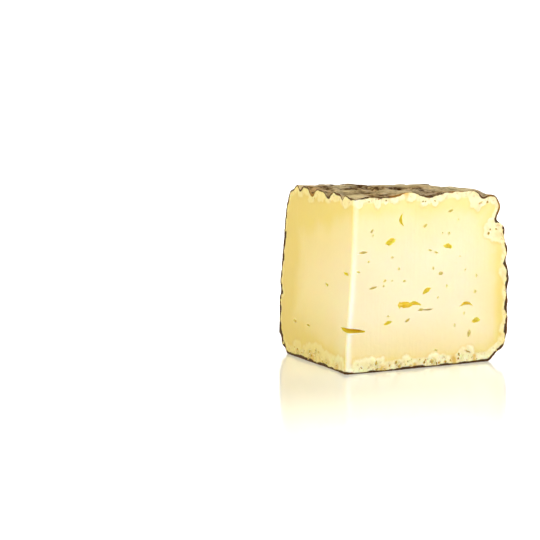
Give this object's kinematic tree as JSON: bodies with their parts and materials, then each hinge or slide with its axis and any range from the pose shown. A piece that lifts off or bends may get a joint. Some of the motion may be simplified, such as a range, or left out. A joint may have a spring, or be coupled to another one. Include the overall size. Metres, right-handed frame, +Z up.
{
  "type": "tomme cheese wedge",
  "caption": "Wedge of tomme cheese with a wrinkled natural rind, a pale yellow paste with small scattered eyes, and two knife-cut faces meeting in an upright front edge.",
  "frame": {"origin": "centre of the wedge's box, on the level that its base stands on", "axes": "+Z up, -Y towards the tip where the two cuts meet, +Y towards the curved rind, +X to the right seen from the tip"},
  "size_m": [0.113, 0.0938, 0.0818],
  "materials": {
    "cheese": "soft satin paste, dull mouldy rind"
  },
  "bodies": {
    "root": {"tomme_wedge": "cheese"}
  },
  "joints": []
}
